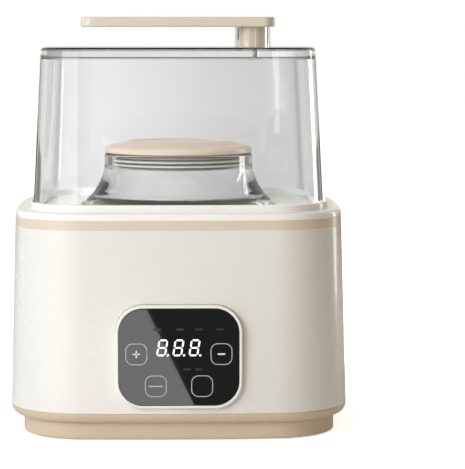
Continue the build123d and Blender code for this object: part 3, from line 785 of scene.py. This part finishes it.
def well():
    """Metal cup that warms the jar, hung from its flange."""
    low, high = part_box("heating_well")
    z0, z1, t, flange_r = low.z / MM, high.z / MM, 0.8, 71.0
    profile = [(ON_AXIS, z0), (WELL_R + t, z0), (WELL_R + t, z1 - t), (flange_r, z1 - t), (flange_r, z1),
               (WELL_R, z1), (WELL_R, z0 + t), (ON_AXIS, z0 + t)]
    piece = spin("warming_cup", profile, {1: 7.0, 2: 0.6, 5: 0.6, 6: 6.2}, closed=False)
    place_piece(piece, "base", "well_metal", "heating_well")


def jar():
    """Round glass jar. Its shoulder falls from the neck in two bends, inside as outside."""
    low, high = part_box("glass_jar")
    r, z0, z1, wall, floor_t = high.x / MM, low.z / MM, high.z / MM, 3.6, 4.5
    neck, bore, shoulder_z, neck_z = 45.6, 41.2, SHOULDER_Z, 158.5
    inner, inner_z = r - wall, shoulder_z - 1
    falls = ((1.0, 2.9), (3.3, 5.1), (7.3, 10.7), (10.5, 17.2))
    falls_inside = ((1.5, 3.6), (5.4, 7.8), (10.2, 14.2))
    up = (0, 1)
    outside = curve([(r, shoulder_z)] + [(r - x, shoulder_z + z) for x, z in falls]
                    + [(neck, neck_z)], up, up)
    inside = curve([(inner, inner_z)] + [(inner - x, shoulder_z + z) for x, z in falls_inside]
                   + [(bore, neck_z - 1.5)], up, up)
    punt, punt_r, foot_r = z0 + 1.2, r - 22, r - 17
    heel = rounded([(ON_AXIS, punt), (punt_r, punt), (foot_r, z0), (r, z0), (r, shoulder_z)],
                   {1: 2, 2: 2, 3: 9.0}, FINE_STEPS)
    mouth = rounded([(neck, neck_z), (neck, z1), (bore, z1), (bore, neck_z)], {1: 1.6, 2: 1.2})
    floor_z = z0 + floor_t
    floor_inside = rounded([(inner, inner_z), (inner, floor_z), (ON_AXIS, floor_z)], {1: 5.0}, FINE_STEPS)
    profile = heel[:-1] + outside[:-1] + mouth[:-1] + list(reversed(inside)) + floor_inside[1:]
    place_piece(spin("jar_body", profile, {}, closed=False), "jar", "jar_glass", "glass_jar")


def lid():
    """Flanged lid with a raised, dished middle and a hollow plug that carries the gasket in a groove."""
    low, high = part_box("jar_lid")
    gasket_low, gasket_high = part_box("lid_gasket")
    r, z1, plug_z0, plug, plug_t = high.x / MM, high.z / MM, low.z / MM, 37.4, 3.0
    top, dish, inside_z = LID_Z0 + 4.0, z1 - 0.5, LID_Z0 + 1.2
    dish_r, ring_in, ring_out, step = 27.4, 29.0, 30.5, 38.6
    play, groove, ledge = 0.1, plug - 1.2, plug + 0.8
    g0, g1 = gasket_low.z / MM - play, gasket_high.z / MM + play
    profile = [(ON_AXIS, dish), (dish_r, dish), (ring_in, z1), (ring_out, z1), (step, top + 0.7),
               (r - 2, top + 0.1), (r, top - 1.3), (r, LID_Z0), (plug, LID_Z0), (plug, g1), (groove, g1),
               (groove, g0), (ledge, g0), (plug, plug_z0), (plug - plug_t, plug_z0),
               (plug - plug_t - 0.4, inside_z), (ON_AXIS, inside_z)]
    rounds = {1: 1.5, 2: 0.8, 3: 2.5, 4: 6.0, 5: 1.0, 6: 1.0, 7: 0.7, 8: 0.3, 12: 0.3, 13: 0.5, 14: 0.5,
              15: 1.0}
    place_piece(spin("lid_body", profile, rounds, closed=False), "lid", "beige_lid", "jar_lid")


def gasket():
    low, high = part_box("lid_gasket")
    z0, z1, rib, base, inner, root, tip = low.z / MM, high.z / MM, high.x / MM, 38.1, 36.3, 1.1, 0.3
    profile = [(inner, z0), (base, z0)]
    for z in GASKET_RIBS:
        profile += [(base, z - root), (rib, z - tip), (rib, z + tip), (base, z + root)]
    profile += [(base, z1), (inner, z1)]
    rounds = {i: 0.25 for i in range(1, len(profile) - 1)}
    place_piece(spin("lid_ribs", profile, rounds), "lid", "gasket_silicone", "lid_gasket")


# ---------------------------------------------------------------- cover and handle

def cover():
    """Clear cover with its handle's sleeve, a screw hole under the sleeve and a vent in its right side."""
    z0, z1, play, wall, top_t, draft = COVER_LOW.z / MM, COVER_TOP_Z, 0.4, 3.0, 5.6, 4.9
    top_round, ceiling_round = 2.4, 1.8
    outer = lean(SHOULDER_Z) + COLLAR_IN + COLLAR_T + play
    ceiling = z1 - top_t
    inner_top = outer + wall + draft * (ceiling - z0) / (z1 - z0)
    flat = 12
    profile = [(inner_top + flat, ceiling), (inner_top, ceiling), (outer + wall, z0), (outer, z0),
               (outer + draft, z1), (outer + draft + flat, z1)]
    points = held(rounded(profile, {1: ceiling_round, 2: 1.0, 3: 1.0, 4: top_round}, FINE_STEPS))
    piece = loft("cover_shell", [[(x, y, z) for x, y in plan(inset)] for inset, z in points])
    foot_r, outer_r, rim_r, bore = 10.0, 11.15, 10.8, 8.2
    root_z = z1 - 1.5
    sleeve = [(foot_r, root_z), (outer_r, root_z), (outer_r, z1), (rim_r, SLEEVE_Z1), (bore, SLEEVE_Z1),
              (bore, root_z)]
    cut(piece, spin("sleeve", sleeve, {3: 0.4, 4: 0.3}, place=at(POST_X), count=POST_STEPS), "UNION")
    screw_r, past = 1.95, 2
    cut(piece, rod(screw_r, ceiling - past, z1 + past, POST_X, 0, SCREW_STEPS))
    vent_r, vent_x, vent_z, vent_y0, vent_y1 = 2.4, 55.5, 192.5, -90, -40
    cut(piece, rod_along_y(vent_r, vent_y0, vent_y1, vent_x, vent_z))
    place_piece(piece, "cover", "clear_plastic", "clear_cover")


def handle():
    """Flat bar with the peg that stands in the cover's sleeve, drilled for its screw."""
    low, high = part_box("handle_bar")
    peg_r, hole_r, hole_depth, edge, z0, z1 = 8.1, 1.5, 10, 6, low.z / MM, high.z / MM
    outline = rounded_rectangle((high.x - low.x) / 2 / MM, high.y / MM, 7.0)
    profile = [(edge, HANDLE_Z0), (0, HANDLE_Z0), (0, z1), (edge, z1)]
    piece = shell("handle_bar_piece", profile, {1: 0.9, 2: 1.4}, outline, closed=False,
                  place=at((low.x + high.x) / 2 / MM))
    cut(piece, rod(peg_r, z0, HANDLE_Z0 + 2, POST_X, 0, POST_STEPS), "UNION")
    cut(piece, rod(hole_r, z0 - 1, z0 + hole_depth, POST_X, 0, SCREW_STEPS))
    place_piece(piece, "cover", "beige_handle", "handle_bar")


# ---------------------------------------------------------------- rear inlet

def inlet():
    """Two-pole socket: a flange outside the housing and a figure-of-eight recess for the plug."""
    half_w, half_h = (INLET_HIGH.x - INLET_LOW.x) / 2 / MM, (INLET_HIGH.z - INLET_LOW.z) / 2 / MM
    body_in, body_y0, flange_y0, edge, recess_y0 = 4, 73, 84.8, 6, 76
    y1 = INLET_HIGH.y / MM
    back = Matrix.Translation((0, 0, INLET_Z * MM)) @ Matrix.Rotation(-math.pi / 2, 4, "X")
    profile = [(body_in, body_y0), (body_in, flange_y0), (0, flange_y0), (0, y1), (edge, y1)]
    piece = shell("inlet_socket", profile, {3: 0.8}, rounded_rectangle(half_w, half_h, 6.0), closed=False,
                  place=back)
    lobe_x, lobe_r = 4.3, 4.4
    for side in (-1, 1):
        cut(piece, rod_along_y(lobe_r, recess_y0, y1 + 2, side * lobe_x, INLET_Z))
    cut(piece, block_along_y(rounded_rectangle(lobe_x, lobe_r, 0.5), recess_y0, y1 + 2, INLET_Z))
    place_piece(piece, "base", "inlet_black", "power_inlet")


def dress_frame():
    """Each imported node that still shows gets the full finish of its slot."""
    slots = {part["node"]: part["material_slot"] for part in frame["record"]["subparts"]}
    for name, node in frame["nodes"].items():
        node.data.materials.clear()
        node.data.materials.append(FINISH[slots[name]])


for build in (housing, trim, rim, foot_cover, feet, bezel, panel_glass, panel_marks, well, jar, lid, gasket,
              cover, handle, inlet, dress_frame):
    build()


# ---------------------------------------------------------------- stage, lights, camera
# From here on, sizes and places are in metres.

FLOOR_HALF, FLOOR_COLOUR = 6.0, (0.93, 0.93, 0.93)
FLOOR_GLOW_NEAR, FLOOR_GLOW_FAR = (0.12, 0.72), (0.32, 1.0)

# Backdrop: its place, and how bright it is from left to right
BACKDROP_Y, BACKDROP_HALF, BACKDROP_HEIGHT = 1.5, 0.9, 1.2
BACKDROP = ((-0.9, 0.5), (-0.36, 0.62), (-0.27, 0.80), (-0.15, 0.86), (-0.105, 0.92), (-0.022, 0.82),
            (0.044, 0.72), (0.11, 0.66), (0.2, 0.68), (0.27, 0.64), (0.34, 0.5), (0.9, 0.4))

# The room's light by direction, what gloss shows all round, and what glass shows low down and high up
ROOM = (((0, 1, 0), (0.577, 0.587, 0.482)), ((0.7, -0.7, 0), (0.08, 0.02, 0.0)),
        ((0, 0, 1), (0.125, 0.11, 0.085)))
GLOSS_LIGHT = 0.25
THROUGH_GLASS = (0.72, 0.71, 0.69)
THROUGH_LEVEL, THROUGH_HIGH = (0.12, 1.0), (0.5, 0.35)

# Reflectors on the floor before the panel: one left and one right of a slanting edge
CARD_NEAR_Y, CARD_FAR_Y, CARD_Z, CARD_X = -0.16, -0.90, 0.002, 0.45
EDGE_NEAR_X, EDGE_FAR_X = 0.0132, -0.0445
UPRIGHT_CARD_R = 1.2

# Lamps: name, place, width, height, power in watts, colour, and whether it shows in gloss and through glass
LAMPS = (
    ("key_left", (-1.15, -1.0, 0.85), 0.9, 1.1, 20, (0.943, 1.008, 1.092), False),
    ("front_left", (-0.8, -1.7, 0.6), 0.9, 0.9, 7.3, (0.9, 1.016, 1.108), False),
    ("front", (0.2, -2.0, 0.6), 1.4, 0.8, 1.2, (1.49, 0.96, 0.0), False),
    ("top_front", (0.0, -0.9, 1.2), 1.2, 0.6, 2.0, (1.12, 0.99, 0.75), True),
    ("edge_right", (0.8, 0.45, 0.25), 0.12, 0.9, 2.0, (0.96, 1.01, 0.97), True),
    ("edge_left", (-0.8, 0.45, 0.25), 0.12, 0.9, 0.26, (1, 1, 1), True),
)
LAMP_TARGET = Vector((0, 0, 0.13))

CAMERA_PLACE, CAMERA_DOWN, CAMERA_RIGHT = (0, -1.3395, 0.2403), math.radians(5.383), math.radians(1.428)
CAMERA_LENS, CAMERA_SENSOR, CAMERA_NEAR, CAMERA_FAR = 166.6, 36, 0.05, 30


def stage_plane(name, corner_points, colour=(0, 0, 0)):
    """Flat sheet of the studio, with a plain finish to light or to glow."""
    bm = bmesh.new()
    bm.faces.new([bm.verts.new(point) for point in corner_points])
    mesh = bpy.data.meshes.new(name)
    bm.to_mesh(mesh)
    bm.free()
    plane = bpy.data.objects.new(name, mesh)
    bpy.context.scene.collection.objects.link(plane)
    n = Nodes(name)
    n.set(Base_Color=(*colour, 1), Roughness=1.0, Specular_IOR_Level=0.0, Emission_Color=(1, 1, 1, 1))
    mesh.materials.append(n.material)
    return plane, n


def floor():
    """Pale sheet that the camera sees burnt out to white, but for the contact shadow."""
    half = FLOOR_HALF
    sheet = [(-half, -half, 0), (half, -half, 0), (half, half, 0), (-half, half, 0)]
    n = stage_plane("floor_white", sheet, FLOOR_COLOUR)[1]
    distance = n.add("ShaderNodeVectorMath", operation="LENGTH")
    n.link(n.place, distance.inputs[0])
    (near, near_glow), (far, far_glow) = FLOOR_GLOW_NEAR, FLOOR_GLOW_FAR
    glow = n.fit(distance.outputs["Value"], near, far, near_glow, far_glow)
    n.link(n.maths("MULTIPLY", n.ray("Is Camera Ray"), glow), n.shader.inputs["Emission Strength"])


def world():
    """White to the eye. For everything else a dim room, lit from behind, above and faintly the front."""
    scene = bpy.context.scene
    scene.world = bpy.data.worlds.new("studio")
    scene.world.use_nodes = True
    scene.world.node_tree.nodes.clear()
    n = Tree(scene.world.node_tree, "Generated")

    def light(colour, strength):
        node = n.add("ShaderNodeBackground")
        n.feed(colour, node.inputs["Color"])
        n.feed(strength, node.inputs["Strength"])
        return node.outputs[0]

    room = light((1, 1, 1), n.maths("MULTIPLY", n.ray("Is Glossy Ray"), GLOSS_LIGHT))
    for direction, colour in ROOM:
        facing = n.add("ShaderNodeVectorMath", operation="DOT_PRODUCT")
        facing.inputs[1].default_value = direction
        n.link(n.place, facing.inputs[0])
        both = n.add("ShaderNodeAddShader")
        n.link(room, both.inputs[0])
        n.link(light(colour, n.maths("MAXIMUM", facing.outputs["Value"], 0.0)), both.inputs[1])
        room = both.outputs[0]
    (level, level_glow), (high, high_glow) = THROUGH_LEVEL, THROUGH_HIGH
    through = light(THROUGH_GLASS, n.fit(n.axis("Z"), level, high, level_glow, high_glow))
    unseen = n.by_ray("Is Transmission Ray", room, through)
    total = n.by_ray("Is Camera Ray", unseen, light((1, 1, 1), 1.0))
    n.link(total, n.add("ShaderNodeOutputWorld").inputs["Surface"])


def lights():
    for name, place, width, height, power, colour, shows in LAMPS:
        data = bpy.data.lights.new(name, "AREA")
        data.shape, data.size, data.size_y = "RECTANGLE", width, height
        data.energy, data.color = power, colour
        lamp = bpy.data.objects.new(name, data)
        lamp.location = place
        lamp.rotation_euler = (LAMP_TARGET - Vector(place)).to_track_quat("-Z", "Y").to_euler()
        lamp.visible_glossy = lamp.visible_transmission = shows
        bpy.context.scene.collection.objects.link(lamp)


def camera():
    data = bpy.data.cameras.new("camera")
    data.lens, data.sensor_width = CAMERA_LENS, CAMERA_SENSOR
    data.clip_start, data.clip_end = CAMERA_NEAR, CAMERA_FAR
    cam = bpy.data.objects.new("camera", data)
    cam.location = CAMERA_PLACE
    ahead = math.cos(CAMERA_DOWN)
    look = Vector((math.sin(CAMERA_RIGHT) * ahead, math.cos(CAMERA_RIGHT) * ahead, -math.sin(CAMERA_DOWN)))
    cam.rotation_euler = look.to_track_quat("-Z", "Y").to_euler()
    bpy.context.scene.collection.objects.link(cam)
    bpy.context.scene.camera = cam


def backdrop():
    """Pale wall that only shows through glass, fading towards the right and dim past the cover's corners."""
    y, half = BACKDROP_Y, BACKDROP_HALF
    plane, n = stage_plane("backdrop", [(-half, y, 0), (half, y, 0), (half, y, BACKDROP_HEIGHT),
                                        (-half, y, BACKDROP_HEIGHT)])
    ramp = n.add("ShaderNodeValToRGB")
    stops = ramp.color_ramp.elements
    for _ in BACKDROP[len(stops):]:
        stops.new(0.5)
    for stop, (x, glow) in zip(stops, BACKDROP):
        stop.position, stop.color = (x + half) / (2 * half), (glow, glow, glow, 1)
    n.link(n.fit(n.axis("X"), -half, half), ramp.inputs["Fac"])
    n.link(ramp.outputs["Color"], n.shader.inputs["Emission Color"])
    n.set(Emission_Strength=1.0)
    plane.visible_camera = plane.visible_diffuse = plane.visible_glossy = plane.visible_shadow = False


def card(name, corner_points, strength):
    """Reflector that only shows as a reflection."""
    plane, n = stage_plane(name, corner_points)
    n.set(Emission_Strength=strength)
    plane.visible_camera = plane.visible_diffuse = plane.visible_transmission = plane.visible_shadow = False


def floor_card(name, outer_x, strength):
    """Reflector from the slanting edge out to one side."""
    points = [(outer_x, CARD_NEAR_Y), (EDGE_NEAR_X, CARD_NEAR_Y),
              (EDGE_FAR_X, CARD_FAR_Y), (outer_x, CARD_FAR_Y)]
    card(name, [(x, y, CARD_Z) for x, y in points], strength)


def upright_card(name, angle0, angle1, z0, z1, strength):
    """Reflector that stands off, between two angles to the left of straight ahead of the front."""
    turns = (math.radians(angle0), math.radians(angle1))
    (x0, y0), (x1, y1) = [(-UPRIGHT_CARD_R * math.sin(t), -UPRIGHT_CARD_R * math.cos(t)) for t in turns]
    card(name, [(x0, y0, z0), (x1, y1, z0), (x1, y1, z1), (x0, y0, z1)], strength)


for set_up in (floor, world, lights, camera, backdrop):
    set_up()
floor_card("panel_card", -CARD_X, 2.6)
floor_card("panel_flag", CARD_X, 0.12)
upright_card("cover_card_left", 21, 62, 0.15, 0.36, 3.2)
upright_card("cover_card_right", 347, 337, 0.245, 0.45, 3.6)

view = bpy.context.scene.view_settings
view.view_transform, view.look = "Standard", "None"
